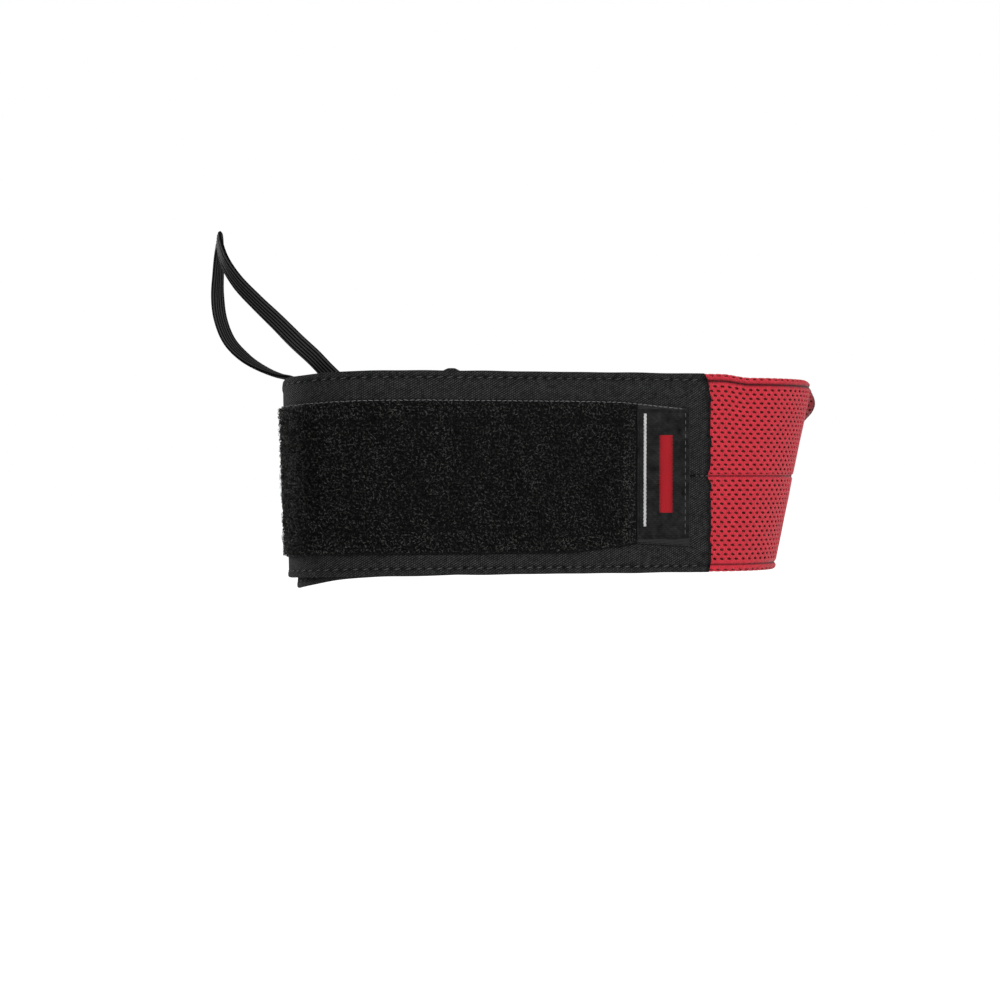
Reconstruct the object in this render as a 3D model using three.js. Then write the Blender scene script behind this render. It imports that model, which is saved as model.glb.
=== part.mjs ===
// A wrist wrap, part wound. A twill strap with a mesh lining goes once and a half round, runs off
// pulled straight, and ends in a soft mesh tab that bends back. A pile patch and a label are sewn to
// the strap's outer face, a hook patch to the back of the tab, and an elastic thumb loop inside the
// strap.
//
// Millimetres. +Z is up, the thumb loop's side; -Y is the front, with the label; +X is the way the
// strap is pulled. The origin is on the axis of the winding, half way up the strap. Each cloth piece
// is cut flat, with a place along the strap, a place across it and a height out of its skin side, and
// is then wound up.

import * as THREE from "three";

const { degToRad, lerp, smoothstep } = THREE.MathUtils;

// Driving dimensions

const HOLLOW = { halfWidth: 30, halfDepth: 22, widensBy: 0.033 };
const STRAP = { width: 63.5, lining: 1.0, liningInset: 0.35, twill: 1.2 };
const HEM = { rise: 0.25, width: 2.1, ease: 0.5 };
const GAP = { plies: 0.12, turns: 0.2, ends: 0.3, sewnElastic: 0.55 };
const WINDING = { startDeg: -205, leaveDeg: 289, straightRun: 91.3 };
const PUCKER = { atDeg: 180, halfWidth: 5.4, depth: 2.8, reachesDown: 9 };
const PATCH = { height: 48, thick: 1.4, lowered: 1.2, startDeg: 112 };
const LABEL = { width: 17.3, height: 41, thick: 0.7, lowered: 0.3, fromStrapEnd: 6.9 };
const TAB = { length: 50, thick: 1.9, hemWidth: 2.4, hemRise: 0.35 };
const TAB_SEAM = { at: -1, depth: 0.7, halfWidth: 0.7 };
const DIP = { startsAt: 4, endsAt: 14, depth: 1.1 };
const BEND = { startsAt: 11.1, leansBy: 0.21, length: 41.9, ease: 1.12, turnDeg: 92 };
const BEND_CORNER = { from: 27.7, pull: 0.14 };
const FLARE = { startsAt: 44, length: 3.4, turnDeg: 52.5, centreAcross: 23, halfHeight: 7.4 };
const HOOKS = { from: 1.5, to: 16.5, height: 46, thick: 1.2 };
const ELASTIC = { width: 5.8, thick: 1.7 };
const EDGE_CHAMFER_SHARE = 0.3;

// How far the strap has slipped down its middle line, as it goes round. Degrees are those of the winding.
const DRIFT = [
  { deg: -205, z: -4.6 },
  { deg: -180, z: -5.2 },
  { deg: -90, z: -0.4 },
  { deg: 0, z: 0.3 },
  { deg: 90, z: -0.9 },
  { deg: 180, z: -1.7 },
  { deg: 270, z: -0.1 },
  { deg: 289, z: 0 },
];

// The thumb loop's free stretch, from the front of the strap up, over and down to its left side.
const THUMB_ROUTE = [
  { x: -24.8, y: -16.4, z: 36.1 },
  { x: -30.2, y: -17.0, z: 41.1 },
  { x: -36.4, y: -16.6, z: 47.3 },
  { x: -43.0, y: -14.8, z: 53.6 },
  { x: -49.3, y: -11.8, z: 60.1 },
  { x: -53.8, y: -7.6, z: 66.6 },
  { x: -56.0, y: -2.8, z: 71.8 },
  { x: -57.2, y: 2.4, z: 75.0 },
  { x: -57.8, y: 7.6, z: 75.2 },
  { x: -58.6, y: 12.8, z: 72.2 },
  { x: -59.4, y: 17.0, z: 66.2 },
  { x: -60.0, y: 19.8, z: 58.9 },
  { x: -59.2, y: 20.4, z: 51.3 },
  { x: -56.1, y: 18.6, z: 43.8 },
  { x: -50.6, y: 15.4, z: 38.0 },
  { x: -44.6, y: 11.6, z: 34.2 },
  { x: -38.4, y: 8.0, z: 31.6 },
  { x: -33.4, y: 5.4, z: 30.4 },
  { x: -29.6, y: 4.2, z: 29.2 },
];
// The ends of the loop, sewn flat against the lining: where they lie in the first turn, and how high.
const FRONT_LEG = [
  { deg: -105, z: 19.5 },
  { deg: -117.6, z: 25.2 },
  { deg: -132, z: 31.2 },
];
const SIDE_LEG = [
  { deg: -187, z: 26 },
  { deg: -186, z: 20.5 },
  { deg: -185, z: 14.5 },
];
// The way the elastic's flat outer side faces, at shares of its length.
const THUMB_FACING = [
  { share: 0, x: -0.2, y: -0.98, z: 0 },
  { share: 0.11, x: -0.5, y: -0.86, z: 0 },
  { share: 0.2, x: -0.5, y: -0.86, z: 0 },
  { share: 0.27, x: -0.72, y: -0.69, z: 0 },
  { share: 0.34, x: -0.82, y: -0.57, z: 0 },
  { share: 0.41, x: -0.94, y: -0.33, z: 0.05 },
  { share: 0.46, x: -0.98, y: 0, z: 0.15 },
  { share: 0.52, x: -0.95, y: 0.25, z: 0.2 },
  { share: 0.64, x: -0.75, y: 0.6, z: 0.25 },
  { share: 0.75, x: -0.55, y: 0.6, z: -0.58 },
  { share: 0.81, x: -0.2, y: 0.2, z: -0.96 },
  { share: 0.86, x: -0.3, y: 0.1, z: -0.95 },
  { share: 0.91, x: -0.96, y: 0.26, z: -0.1 },
  { share: 1, x: -0.96, y: 0.26, z: 0 },
];

const CLOTH = {
  twill: { color: 0x242425, roughness: 0.85 },
  lining: { color: 0xa8283a, roughness: 0.8 },
  pile: { color: 0x141414, roughness: 0.95 },
  satin: { color: 0x1c1c1e, roughness: 0.6 },
  net: { color: 0xb82c40, roughness: 0.8 },
  hook: { color: 0x181818, roughness: 0.7 },
  elastic: { color: 0x161617, roughness: 0.7 },
};
// How many steps each strip is cut in along its length.
const STEPS = { strap: 84, patch: 48, label: 5, tab: 30, hooks: 6, elastic: 48 };
const WIDEST_PANEL = 3.6;
const WALK_STEPS = 60;
const SPIRAL_DIVISIONS = 1500;
const ROUTE_DIVISIONS = 800;
const EDGE_SEGMENTS = 2;

// Sizes that follow from these

const STRAP_HALF = STRAP.width / 2;
const PLY_OUT = STRAP.lining + GAP.plies;
const STRAP_THICK = PLY_OUT + STRAP.twill;
const FACE_OUT = STRAP_THICK + GAP.plies;
const PITCH = STRAP_THICK + HEM.rise + GAP.turns;
const FULL_TURN = 2 * Math.PI;
const QUARTER_TURN = Math.PI / 2;

// The skin side of the strap, seen from above: an oval that grows by one strap's thickness with each turn.
class SkinSpiral extends THREE.Curve {
  constructor(startDeg, endDeg) {
    super();
    this.start = degToRad(startDeg);
    this.end = degToRad(endDeg);
    this.arcLengthDivisions = SPIRAL_DIVISIONS;
  }

  getPoint(t, target = new THREE.Vector3()) {
    const angle = lerp(this.start, this.end, t);
    const growth = (PITCH * (angle - degToRad(WINDING.startDeg))) / FULL_TURN;
    const x = (HOLLOW.halfWidth + growth) * Math.cos(angle);
    const y = (HOLLOW.halfDepth + growth) * Math.sin(angle);
    return target.set(x, y, 0);
  }
}

const spiral = new SkinSpiral(WINDING.startDeg, WINDING.leaveDeg);
const woundLength = spiral.getLength();
const strapLength = woundLength + WINDING.straightRun;
const lengthTo = (deg) => new SkinSpiral(WINDING.startDeg, deg).getLength();
const puckerAlong = lengthTo(PUCKER.atDeg);
const labelEnd = strapLength - LABEL.fromStrapEnd;
const labelStart = labelEnd - LABEL.width;

// The height of the strap's middle line at a place on the winding, easing from row to row of the table.
function drift(deg) {
  const next = Math.max(1, DRIFT.findIndex((row) => row.deg >= deg));
  const [low, high] = [DRIFT[next - 1], DRIFT[next]];
  return lerp(low.z, high.z, smoothstep(deg, low.deg, high.deg));
}

// Where a point of the flat strap comes to lie once the strap is wound. The winding widens a little
// towards the top, all of it on the left.
function wind(along, across, out) {
  const share = Math.min(along / woundLength, 1);
  const foot = spiral.getPointAt(share);
  const heading = spiral.getTangentAt(share);
  foot.addScaledVector(heading, Math.max(along - woundLength, 0));
  const deg = lerp(WINDING.startDeg, WINDING.leaveDeg, spiral.getUtoTmapping(share));
  const z = across + drift(deg);
  const toTheLeft = (1 - Math.cos(degToRad(deg))) / 2;
  const reach = out + HOLLOW.widensBy * toTheLeft * z;
  return new THREE.Vector3(foot.x + heading.y * reach, foot.y - heading.x * reach, z);
}

// The strap as it is wound, its top edge drawn down in a pucker on the left.
function windPuckered(along, across, out) {
  const gathered = Math.exp(-(((along - puckerAlong) / PUCKER.halfWidth) ** 2));
  const nearEdge = smoothstep(across, STRAP_HALF - PUCKER.reachesDown, STRAP_HALF);
  return wind(along, across - PUCKER.depth * gathered * nearEdge, out);
}

// The way the tab points, in radians from +X, at a place along and across it.
function tabHeading(along, across) {
  const pulled = spiral.getTangentAt(1);
  const corner = BEND_CORNER.pull * Math.max(across - BEND_CORNER.from, 0) ** 2;
  const bendStart = BEND.startsAt + BEND.leansBy * across - corner;
  const left = THREE.MathUtils.clamp(1 - (along - bendStart) / BEND.length, 0, 1);
  const bend = degToRad(BEND.turnDeg) * (1 - left ** BEND.ease);
  const nearFlare = 1 - smoothstep(Math.abs(across - FLARE.centreAcross), 0, FLARE.halfHeight);
  const alongFlare = smoothstep(along, FLARE.startsAt, FLARE.startsAt + FLARE.length);
  return Math.atan2(pulled.y, pulled.x) + bend - degToRad(FLARE.turnDeg) * nearFlare * alongFlare;
}

// Where a point of the flat tab comes to lie, found by walking out along the tab from the strap's end.
function bendTab(along, across, out) {
  const stride = along / WALK_STEPS;
  const foot = wind(strapLength + GAP.ends, across, 0);
  for (let i = 0; i < WALK_STEPS; i++) {
    const heading = tabHeading((i + 0.5) * stride, across);
    foot.x += stride * Math.cos(heading);
    foot.y += stride * Math.sin(heading);
  }
  const heading = tabHeading(along, across);
  const dip = DIP.depth * smoothstep(along, DIP.startsAt, DIP.endsAt) * smoothstep(across, 0, STRAP_HALF);
  return new THREE.Vector3(foot.x + out * Math.sin(heading), foot.y - out * Math.cos(heading), across - dip);
}

// A strip of cloth with the section given, cut flat from one length to another, then moved to its
// place by layOut.
function clothStrip(section, from, to, steps, layOut) {
  const options = { depth: to - from, steps, bevelEnabled: false, curveSegments: EDGE_SEGMENTS };
  const geometry = new THREE.ExtrudeGeometry(section, options);
  const position = geometry.getAttribute("position");
  const corner = new THREE.Vector3();
  for (let i = 0; i < position.count; i++) {
    corner.fromBufferAttribute(position, i);
    const placed = layOut(from + corner.z, corner.x, corner.y);
    position.setXYZ(i, placed.x, placed.y, placed.z);
  }
  return geometry;
}

// A plain ply's section: across is its x and out is its y, with its two long edges rounded.
function plySection(bottom, top, inner, outer) {
  const radius = (outer - inner) / 2;
  const middle = inner + radius;
  const section = new THREE.Shape();
  section.absarc(top - radius, middle, radius, -QUARTER_TURN, QUARTER_TURN, false);
  section.absarc(bottom + radius, middle, radius, QUARTER_TURN, 3 * QUARTER_TURN, false);
  return section;
}

// A section with a flat back and a face that follows rows of across and out, from its bottom edge
// to its top one.
function facedSection(rows, inner) {
  const [first, last] = [rows[0], rows[rows.length - 1]];
  const edge = (row) => lerp(inner, row.out, EDGE_CHAMFER_SHARE);
  const chamfer = (row) => Math.sign(row.across) * (row.out - inner) * EDGE_CHAMFER_SHARE;
  const faceAcross = (row) => (row === first || row === last ? row.across - chamfer(row) : row.across);
  const face = rows.map((row) => new THREE.Vector2(faceAcross(row), row.out));
  const outline = [
    new THREE.Vector2(first.across - chamfer(first), inner),
    new THREE.Vector2(last.across - chamfer(last), inner),
    new THREE.Vector2(last.across, edge(last)),
    ...face.reverse(),
    new THREE.Vector2(first.across, edge(first)),
  ];
  return new THREE.Shape(outline);
}

// A section with extra corners on its long sides, so that the cloth can bend unevenly from edge to edge.
function inPanels(section) {
  const outline = section.getPoints(EDGE_SEGMENTS);
  const corners = outline.flatMap((corner, i) => {
    const next = outline[(i + 1) % outline.length];
    const count = Math.ceil(corner.distanceTo(next) / WIDEST_PANEL);
    return Array.from({ length: count }, (_, k) => corner.clone().lerp(next, k / count));
  });
  return new THREE.Shape(corners);
}

function cloth(name, geometry, finish) {
  const mesh = new THREE.Mesh(geometry, new THREE.MeshStandardMaterial({ ...finish, metalness: 0 }));
  mesh.name = name;
  return mesh;
}

// Black twill strap, hemmed along both long edges

function twillStrap() {
  const face = STRAP_THICK;
  const hem = face + HEM.rise;
  const inHem = STRAP_HALF - HEM.width;
  const rows = [
    { across: -STRAP_HALF, out: hem },
    { across: -inHem, out: hem },
    { across: -inHem + HEM.ease, out: face },
    { across: inHem - HEM.ease, out: face },
    { across: inHem, out: hem },
    { across: STRAP_HALF, out: hem },
  ];
  const section = facedSection(rows, PLY_OUT);
  return cloth("twill_strap", clothStrip(section, 0, strapLength, STEPS.strap, windPuckered), CLOTH.twill);
}

// Red mesh lining on the skin side, set in a little from the strap's edges

function meshLining() {
  const half = STRAP_HALF - STRAP.liningInset;
  const section = plySection(-half, half, 0, STRAP.lining);
  return cloth("mesh_lining", clothStrip(section, 0, strapLength, STEPS.strap, windPuckered), CLOTH.lining);
}

// Pile patch, from the back of the winding round its left and front to the label

function pilePatch() {
  const bottom = -PATCH.lowered - PATCH.height / 2;
  const section = plySection(bottom, bottom + PATCH.height, FACE_OUT, FACE_OUT + PATCH.thick);
  const from = lengthTo(PATCH.startDeg);
  return cloth("pile_patch", clothStrip(section, from, labelStart - GAP.ends, STEPS.patch, wind), CLOTH.pile);
}

// Woven label, plain, sewn to the strap beyond the pile

function label() {
  const bottom = -LABEL.lowered - LABEL.height / 2;
  const section = plySection(bottom, bottom + LABEL.height, FACE_OUT, FACE_OUT + LABEL.thick);
  return cloth("label", clothStrip(section, labelStart, labelEnd, STEPS.label, wind), CLOTH.satin);
}

// Red mesh pull tab, with a rolled hem along each edge and one sewn line along its middle

function pullTab() {
  const hem = TAB.thick + TAB.hemRise;
  const groove = TAB.thick - TAB_SEAM.depth;
  const inHem = STRAP_HALF - TAB.hemWidth;
  const seamSide = TAB_SEAM.halfWidth;
  const rows = [
    { across: -STRAP_HALF, out: hem },
    { across: -inHem - seamSide, out: hem },
    { across: -inHem, out: groove },
    { across: -inHem + seamSide, out: TAB.thick },
    { across: TAB_SEAM.at - seamSide, out: TAB.thick },
    { across: TAB_SEAM.at, out: groove },
    { across: TAB_SEAM.at + seamSide, out: TAB.thick },
    { across: inHem - seamSide, out: TAB.thick },
    { across: inHem, out: groove },
    { across: inHem + seamSide, out: hem },
    { across: STRAP_HALF, out: hem },
  ];
  const section = inPanels(facedSection(rows, 0));
  return cloth("pull_tab", clothStrip(section, 0, TAB.length, STEPS.tab, bendTab), CLOTH.net);
}

// Hook patch on the back of the tab

function hookPatch() {
  const outer = -GAP.plies;
  const section = inPanels(plySection(-HOOKS.height / 2, HOOKS.height / 2, outer - HOOKS.thick, outer));
  return cloth("hook_patch", clothStrip(section, HOOKS.from, HOOKS.to, STEPS.hooks, bendTab), CLOTH.hook);
}

// The elastic's facing at a share of its length, turning evenly from row to row of the table.
function facing(share) {
  const next = Math.max(1, THUMB_FACING.findIndex((row) => row.share >= share));
  const [low, high] = [THUMB_FACING[next - 1], THUMB_FACING[next]];
  const step = (share - low.share) / (high.share - low.share);
  return new THREE.Vector3(low.x, low.y, low.z).lerp(new THREE.Vector3(high.x, high.y, high.z), step);
}

// Ribbed elastic thumb loop, a flat band with both ends sewn inside the strap

function thumbLoop() {
  const sewnInset = GAP.sewnElastic + ELASTIC.thick / 2;
  const sewnPoint = ({ deg, z }) => {
    const along = lengthTo(deg);
    const level = wind(along, 0, 0).z;
    return wind(along, z - level, -sewnInset);
  };
  const points = [
    ...FRONT_LEG.map(sewnPoint),
    ...THUMB_ROUTE.map(({ x, y, z }) => new THREE.Vector3(x, y, z)),
    ...SIDE_LEG.map(sewnPoint),
  ];
  const route = new THREE.CatmullRomCurve3(points, false, "centripetal");
  route.arcLengthDivisions = ROUTE_DIVISIONS;
  const length = route.getLength();

  const layOut = (along, across, out) => {
    const share = Math.min(along / length, 1);
    const foot = route.getPointAt(share);
    const heading = route.getTangentAt(share);
    const flat = facing(share).projectOnPlane(heading).normalize();
    const side = new THREE.Vector3().crossVectors(heading, flat);
    return foot.addScaledVector(side, -across).addScaledVector(flat, out);
  };
  const half = { across: ELASTIC.width / 2, out: ELASTIC.thick / 2 };
  const section = plySection(-half.across, half.across, -half.out, half.out);
  return cloth("thumb_loop", clothStrip(section, 0, length, STEPS.elastic, layOut), CLOTH.elastic);
}

const wristWrap = new THREE.Group();
wristWrap.add(twillStrap(), meshLining(), pilePatch(), label(), pullTab(), hookPatch(), thumbLoop());

export default wristWrap;
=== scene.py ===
import math

import bmesh
import bpy
import numpy as np
from mathutils import Matrix, Vector


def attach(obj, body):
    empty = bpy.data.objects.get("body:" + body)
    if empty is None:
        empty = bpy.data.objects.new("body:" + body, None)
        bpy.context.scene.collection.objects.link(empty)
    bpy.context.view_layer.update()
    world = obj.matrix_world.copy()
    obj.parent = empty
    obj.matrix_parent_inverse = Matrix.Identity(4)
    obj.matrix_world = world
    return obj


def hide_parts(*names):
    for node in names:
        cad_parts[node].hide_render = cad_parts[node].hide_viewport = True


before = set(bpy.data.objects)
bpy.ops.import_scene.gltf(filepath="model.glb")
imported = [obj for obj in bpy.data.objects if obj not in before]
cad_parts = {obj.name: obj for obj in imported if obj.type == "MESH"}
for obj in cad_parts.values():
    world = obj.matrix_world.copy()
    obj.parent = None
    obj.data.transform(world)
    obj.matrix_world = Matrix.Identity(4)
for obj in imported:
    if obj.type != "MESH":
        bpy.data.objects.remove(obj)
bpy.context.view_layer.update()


# Stage: a pale floor well below the wrap, which is held up in the air, a bright plain
# surround, and soft studio lamps from the upper right, the left and the left rear.
# Both the floor and the surround are white to the camera and dim to the cloth.

CAMERA_PLACE = (0.0335, -0.677, 0.0)
CAMERA_LENS_MM = 75.78
CAMERA_SHIFT = (0.0, -0.0272)
FLOOR_LEVEL = -0.30
FLOOR_SPAN = 40.0
SURROUND_GLOW = 0.16
FLOOR_GLOW = 0.12
WHITE = (1.0, 1.0, 1.0, 1.0)


def put_in(name, data):
    """A new object in the scene, at the origin."""
    made = bpy.data.objects.new(name, data)
    bpy.context.collection.objects.link(made)
    return made


camera_data = bpy.data.cameras.new("camera")
camera_data.sensor_width = 36.0
camera_data.lens = CAMERA_LENS_MM
camera_data.shift_x, camera_data.shift_y = CAMERA_SHIFT
camera_data.clip_end = 100.0
camera = put_in("camera", camera_data)
camera.location = CAMERA_PLACE
camera.rotation_euler = (math.pi / 2, 0.0, 0.0)
bpy.context.scene.camera = camera
bpy.context.scene.view_settings.view_transform = "Standard"


def set_inputs(node, values):
    for name, value in values.items():
        node.inputs[name].default_value = value


def white_to_camera(tree, strength, socket):
    """Glows fully where the camera looks straight at it, and with the given strength on all else."""
    seen = tree.nodes.new("ShaderNodeLightPath")
    mix = tree.nodes.new("ShaderNodeMix")
    set_inputs(mix, {"A": strength, "B": 1.0})
    tree.links.new(seen.outputs["Is Camera Ray"], mix.inputs["Factor"])
    tree.links.new(mix.outputs["Result"], socket)


surround = bpy.data.worlds.new("surround")
surround.use_nodes = True
bpy.context.scene.world = surround
glow = surround.node_tree.nodes["Background"]
glow.inputs["Color"].default_value = WHITE
white_to_camera(surround.node_tree, SURROUND_GLOW, glow.inputs["Strength"])

LAMPS = (
    {"name": "key", "place": (0.55, -0.95, 0.75), "size": 0.7, "watts": 16.6},
    {"name": "fill", "place": (-0.95, -0.80, 0.25), "size": 0.8, "watts": 2.2},
    {"name": "rim", "place": (-0.82, 0.68, 0.30), "size": 0.5, "watts": 10.0},
)
for lamp in LAMPS:
    data = bpy.data.lights.new(lamp["name"], "AREA")
    data.shape = "DISK"
    data.size = lamp["size"]
    data.energy = lamp["watts"]
    light = put_in(lamp["name"], data)
    light.location = lamp["place"]
    light.rotation_euler = (-Vector(lamp["place"])).to_track_quat("-Z", "Y").to_euler()


def as_mesh(bm, name):
    """A mesh of what was modelled, which is then let go."""
    mesh = bpy.data.meshes.new(name)
    bm.to_mesh(mesh)
    bm.free()
    return mesh


def new_material(name):
    """A new material, its node tree and its surface shader."""
    material = bpy.data.materials.new(name)
    material.use_nodes = True
    return material, material.node_tree, material.node_tree.nodes["Principled BSDF"]


bm = bmesh.new()
bmesh.ops.create_grid(bm, x_segments=1, y_segments=1, size=FLOOR_SPAN / 2)
bmesh.ops.translate(bm, verts=bm.verts, vec=(0.0, 0.0, FLOOR_LEVEL))
floor_mesh = as_mesh(bm, "floor")
floor_paint, tree, paint = new_material("floor_paint")
set_inputs(paint, {"Base Color": (0.92, 0.92, 0.92, 1.0), "Roughness": 0.9, "Emission Color": WHITE})
white_to_camera(tree, FLOOR_GLOW, paint.inputs["Emission Strength"])
floor_mesh.materials.append(floor_paint)
floor = put_in("floor", floor_mesh)


# Mesh lining: the red net on the skin side of the strap, a knitted cloth with a field of small
# open holes. It is cut to the strap's length, sewn to it along the edges and wound with it.

MM = 0.001
HOLLOW_HALF_WIDTH = 30 * MM
HOLLOW_HALF_DEPTH = 22 * MM
HOLLOW_WIDENS_BY = 0.033
START_DEG, LEAVE_DEG = -205.0, 289.0
STRAIGHT_RUN = 91.3 * MM
STRAP_WIDTH = 63.5 * MM
LINING_THICK = 1.0 * MM
LINING_INSET = 0.35 * MM
PLY_GAP = 0.12 * MM
TWILL_THICK = 1.2 * MM
HEM_RISE = 0.25 * MM
TURN_GAP = 0.2 * MM
FACE_OUT = LINING_THICK + PLY_GAP + TWILL_THICK
TURN_PITCH = FACE_OUT + HEM_RISE + TURN_GAP
# How far the strap has slipped down, at degrees round the winding.
DRIFT = np.array([
    (-205.0, -4.6 * MM),
    (-180.0, -5.2 * MM),
    (-90.0, -0.4 * MM),
    (0.0, 0.3 * MM),
    (90.0, -0.9 * MM),
    (180.0, -1.7 * MM),
    (270.0, -0.1 * MM),
    (289.0, 0.0),
])


def length_along(line):
    """How far along a line of points each of them lies."""
    return np.concatenate([[0.0], np.cumsum(np.linalg.norm(np.diff(line, axis=0), axis=1))])


def read_off(at, places, table):
    """Each column of a table, whose rows stand at the given places, read off between them."""
    return [np.interp(at, places, column) for column in table.T]


turn = np.radians(np.linspace(START_DEG, LEAVE_DEG, 6001))
grown = TURN_PITCH * (turn - turn[0]) / (2 * math.pi)
skin_x = (HOLLOW_HALF_WIDTH + grown) * np.cos(turn)
skin_y = (HOLLOW_HALF_DEPTH + grown) * np.sin(turn)
skin_line = np.stack([skin_x, skin_y], 1)
skin_length = length_along(skin_line)
skin_heading = np.gradient(skin_line, skin_length, axis=0)
WOUND_LENGTH = float(skin_length[-1])
STRAP_LENGTH = WOUND_LENGTH + STRAIGHT_RUN


def smoothstep(x, low, high):
    t = np.clip((x - low) / (high - low), 0.0, 1.0)
    return t * t * (3 - 2 * t)


def drift(deg):
    """The height of the strap's middle line at degrees round the winding."""
    row = np.clip(np.searchsorted(DRIFT[:, 0], deg), 1, len(DRIFT) - 1)
    low, high = DRIFT[row - 1], DRIFT[row]
    return low[:, 1] + (high[:, 1] - low[:, 1]) * smoothstep(deg, low[:, 0], high[:, 0])


def length_to(deg):
    return float(np.interp(math.radians(deg), turn, skin_length))


def wind(flat):
    """Where points of the flat strap, as along, across and out, come to lie once it is wound."""
    along, across, out = np.asarray(flat, float).T
    on = np.clip(along, 0.0, WOUND_LENGTH)
    foot = read_off(on, skin_length, skin_line)
    head = read_off(on, skin_length, skin_heading)
    angle = np.interp(on, skin_length, turn)
    z = across + drift(np.degrees(angle))
    reach = out + HOLLOW_WIDENS_BY * (1 - np.cos(angle)) / 2 * z
    past = along - on
    x = foot[0] + head[0] * past + head[1] * reach
    y = foot[1] + head[1] * past - head[0] * reach
    return np.stack([x, y, z], 1)


def lay_down(name, mesh, lay_out, material):
    """Makes a piece of a mesh that is cut flat, and lays it out.
    Its flat places stay as a UV map in millimetres."""
    flat = np.empty(len(mesh.vertices) * 3)
    mesh.vertices.foreach_get("co", flat)
    flat = flat.reshape(-1, 3)
    corner = np.empty(len(mesh.loops), np.int64)
    mesh.loops.foreach_get("vertex_index", corner)
    places = mesh.uv_layers.new(name="flat")
    places.uv.foreach_set("vector", (flat[corner, :2] / MM).astype(np.float32).ravel())
    mesh.vertices.foreach_set("co", lay_out(flat).ravel())
    mesh.polygons.foreach_set("use_smooth", np.ones(len(mesh.polygons), bool))
    mesh.update()
    mesh.materials.append(material)
    piece = put_in(name, mesh)
    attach(piece, "root")
    return piece


NET_HOLE_STEP = 2.42 * MM
NET_ROW_STEP = 1.47 * MM
NET_SHUT = 0.9 * MM
NET_HOLE = {"wide": 1.32 * MM, "tall": 0.80 * MM, "lean": 0.16, "sink": 0.16 * MM, "rim": 0.45 * MM}


def punched_net(start, end, bottom, top, thick, cuts=0, sewn_shut=()):
    """A flat net with oval holes in staggered rows, their rims drawn in, as thick as given below its face.
    Stitches along the sewn lines draw the holes there shut."""
    bm = bmesh.new()
    cells = int((end - start) / NET_HOLE_STEP + (top - bottom) / (2 * NET_ROW_STEP)) + 4
    bmesh.ops.create_grid(bm, x_segments=cells, y_segments=cells, size=cells / 2)
    middle = Vector(((start + end) / 2, (bottom + top) / 2, 0.0))
    half_step = NET_HOLE_STEP / 2
    weave = Matrix((
        (half_step, half_step, 0, middle.x),
        (-NET_ROW_STEP, NET_ROW_STEP, 0, middle.y),
        (0, 0, 1, 0),
        (0, 0, 0, 1),
    ))
    bmesh.ops.transform(bm, matrix=weave, verts=bm.verts)
    whole = max(face.calc_area() for face in bm.faces)
    cut_edges = (
        ((start, 0, 0), (-1, 0, 0)),
        ((end, 0, 0), (1, 0, 0)),
        ((0, bottom, 0), (0, -1, 0)),
        ((0, top, 0), (0, 1, 0)),
    )
    for co, no in cut_edges:
        everything = bm.verts[:] + bm.edges[:] + bm.faces[:]
        bmesh.ops.bisect_plane(bm, geom=everything, dist=1e-7, plane_co=co, plane_no=no, clear_outer=True)
    holes = [
        face
        for face in bm.faces
        if face.calc_area() > 0.98 * whole
        and all(abs(face.calc_center_median().y - line) > NET_SHUT for line in sewn_shut)
    ]
    bmesh.ops.inset_individual(bm, faces=holes, thickness=NET_HOLE["rim"], use_even_offset=True)
    lean = Matrix.Rotation(-NET_HOLE["lean"], 2)
    for face in holes:
        centre = face.calc_center_median()
        for vert in face.verts:
            away = (vert.co - centre).to_2d()
            if abs(away.x) > abs(away.y):
                spot = Vector((math.copysign(NET_HOLE["wide"] / 2, away.x), 0))
            else:
                spot = Vector((0, math.copysign(NET_HOLE["tall"] / 2, away.y)))
            vert.co = centre + (lean @ spot).to_3d()
            vert.co.z = -NET_HOLE["sink"]
        face.material_index = 1
    if cuts:
        bmesh.ops.subdivide_edges(bm, edges=bm.edges[:], cuts=cuts, use_grid_fill=True)
        for vert in bm.verts:
            if all(face.material_index for face in vert.link_faces):
                rim = {other for face in vert.link_faces for other in face.verts} - {vert}
                for other in rim:
                    away = lean.transposed() @ (other.co - vert.co).to_2d()
                    round_off = math.hypot(away.x / NET_HOLE["wide"], away.y / NET_HOLE["tall"])
                    other.co = vert.co + (lean @ (away / (2 * round_off))).to_3d()
                    other.co.z = -NET_HOLE["sink"]
    bmesh.ops.delete(bm, geom=[face for face in bm.faces if face.material_index], context="FACES")
    bmesh.ops.solidify(bm, geom=bm.faces[:], thickness=thick)
    return as_mesh(bm, "net")


def node_group(name, inputs, outputs):
    """A shader group with the named sockets, Colour a colour and all else numbers, and its two end nodes."""
    group = bpy.data.node_groups.new(name, "ShaderNodeTree")
    kinds = {"Colour": "NodeSocketColor"}
    for label, value in inputs.items():
        kind = kinds.get(label, "NodeSocketFloat")
        group.interface.new_socket(label, in_out="INPUT", socket_type=kind).default_value = value
    for label in outputs:
        kind = kinds.get(label, "NodeSocketFloat")
        group.interface.new_socket(label, in_out="OUTPUT", socket_type=kind)
    return group, group.nodes.new("NodeGroupInput"), group.nodes.new("NodeGroupOutput")


def sum_node(tree, operation, *terms):
    """A math node on numbers and sockets."""
    node = tree.nodes.new("ShaderNodeMath")
    node.operation = operation
    for socket, term in zip(node.inputs, terms):
        if isinstance(term, (int, float)):
            socket.default_value = term
        else:
            tree.links.new(term, socket)
    return node.outputs[0]


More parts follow.
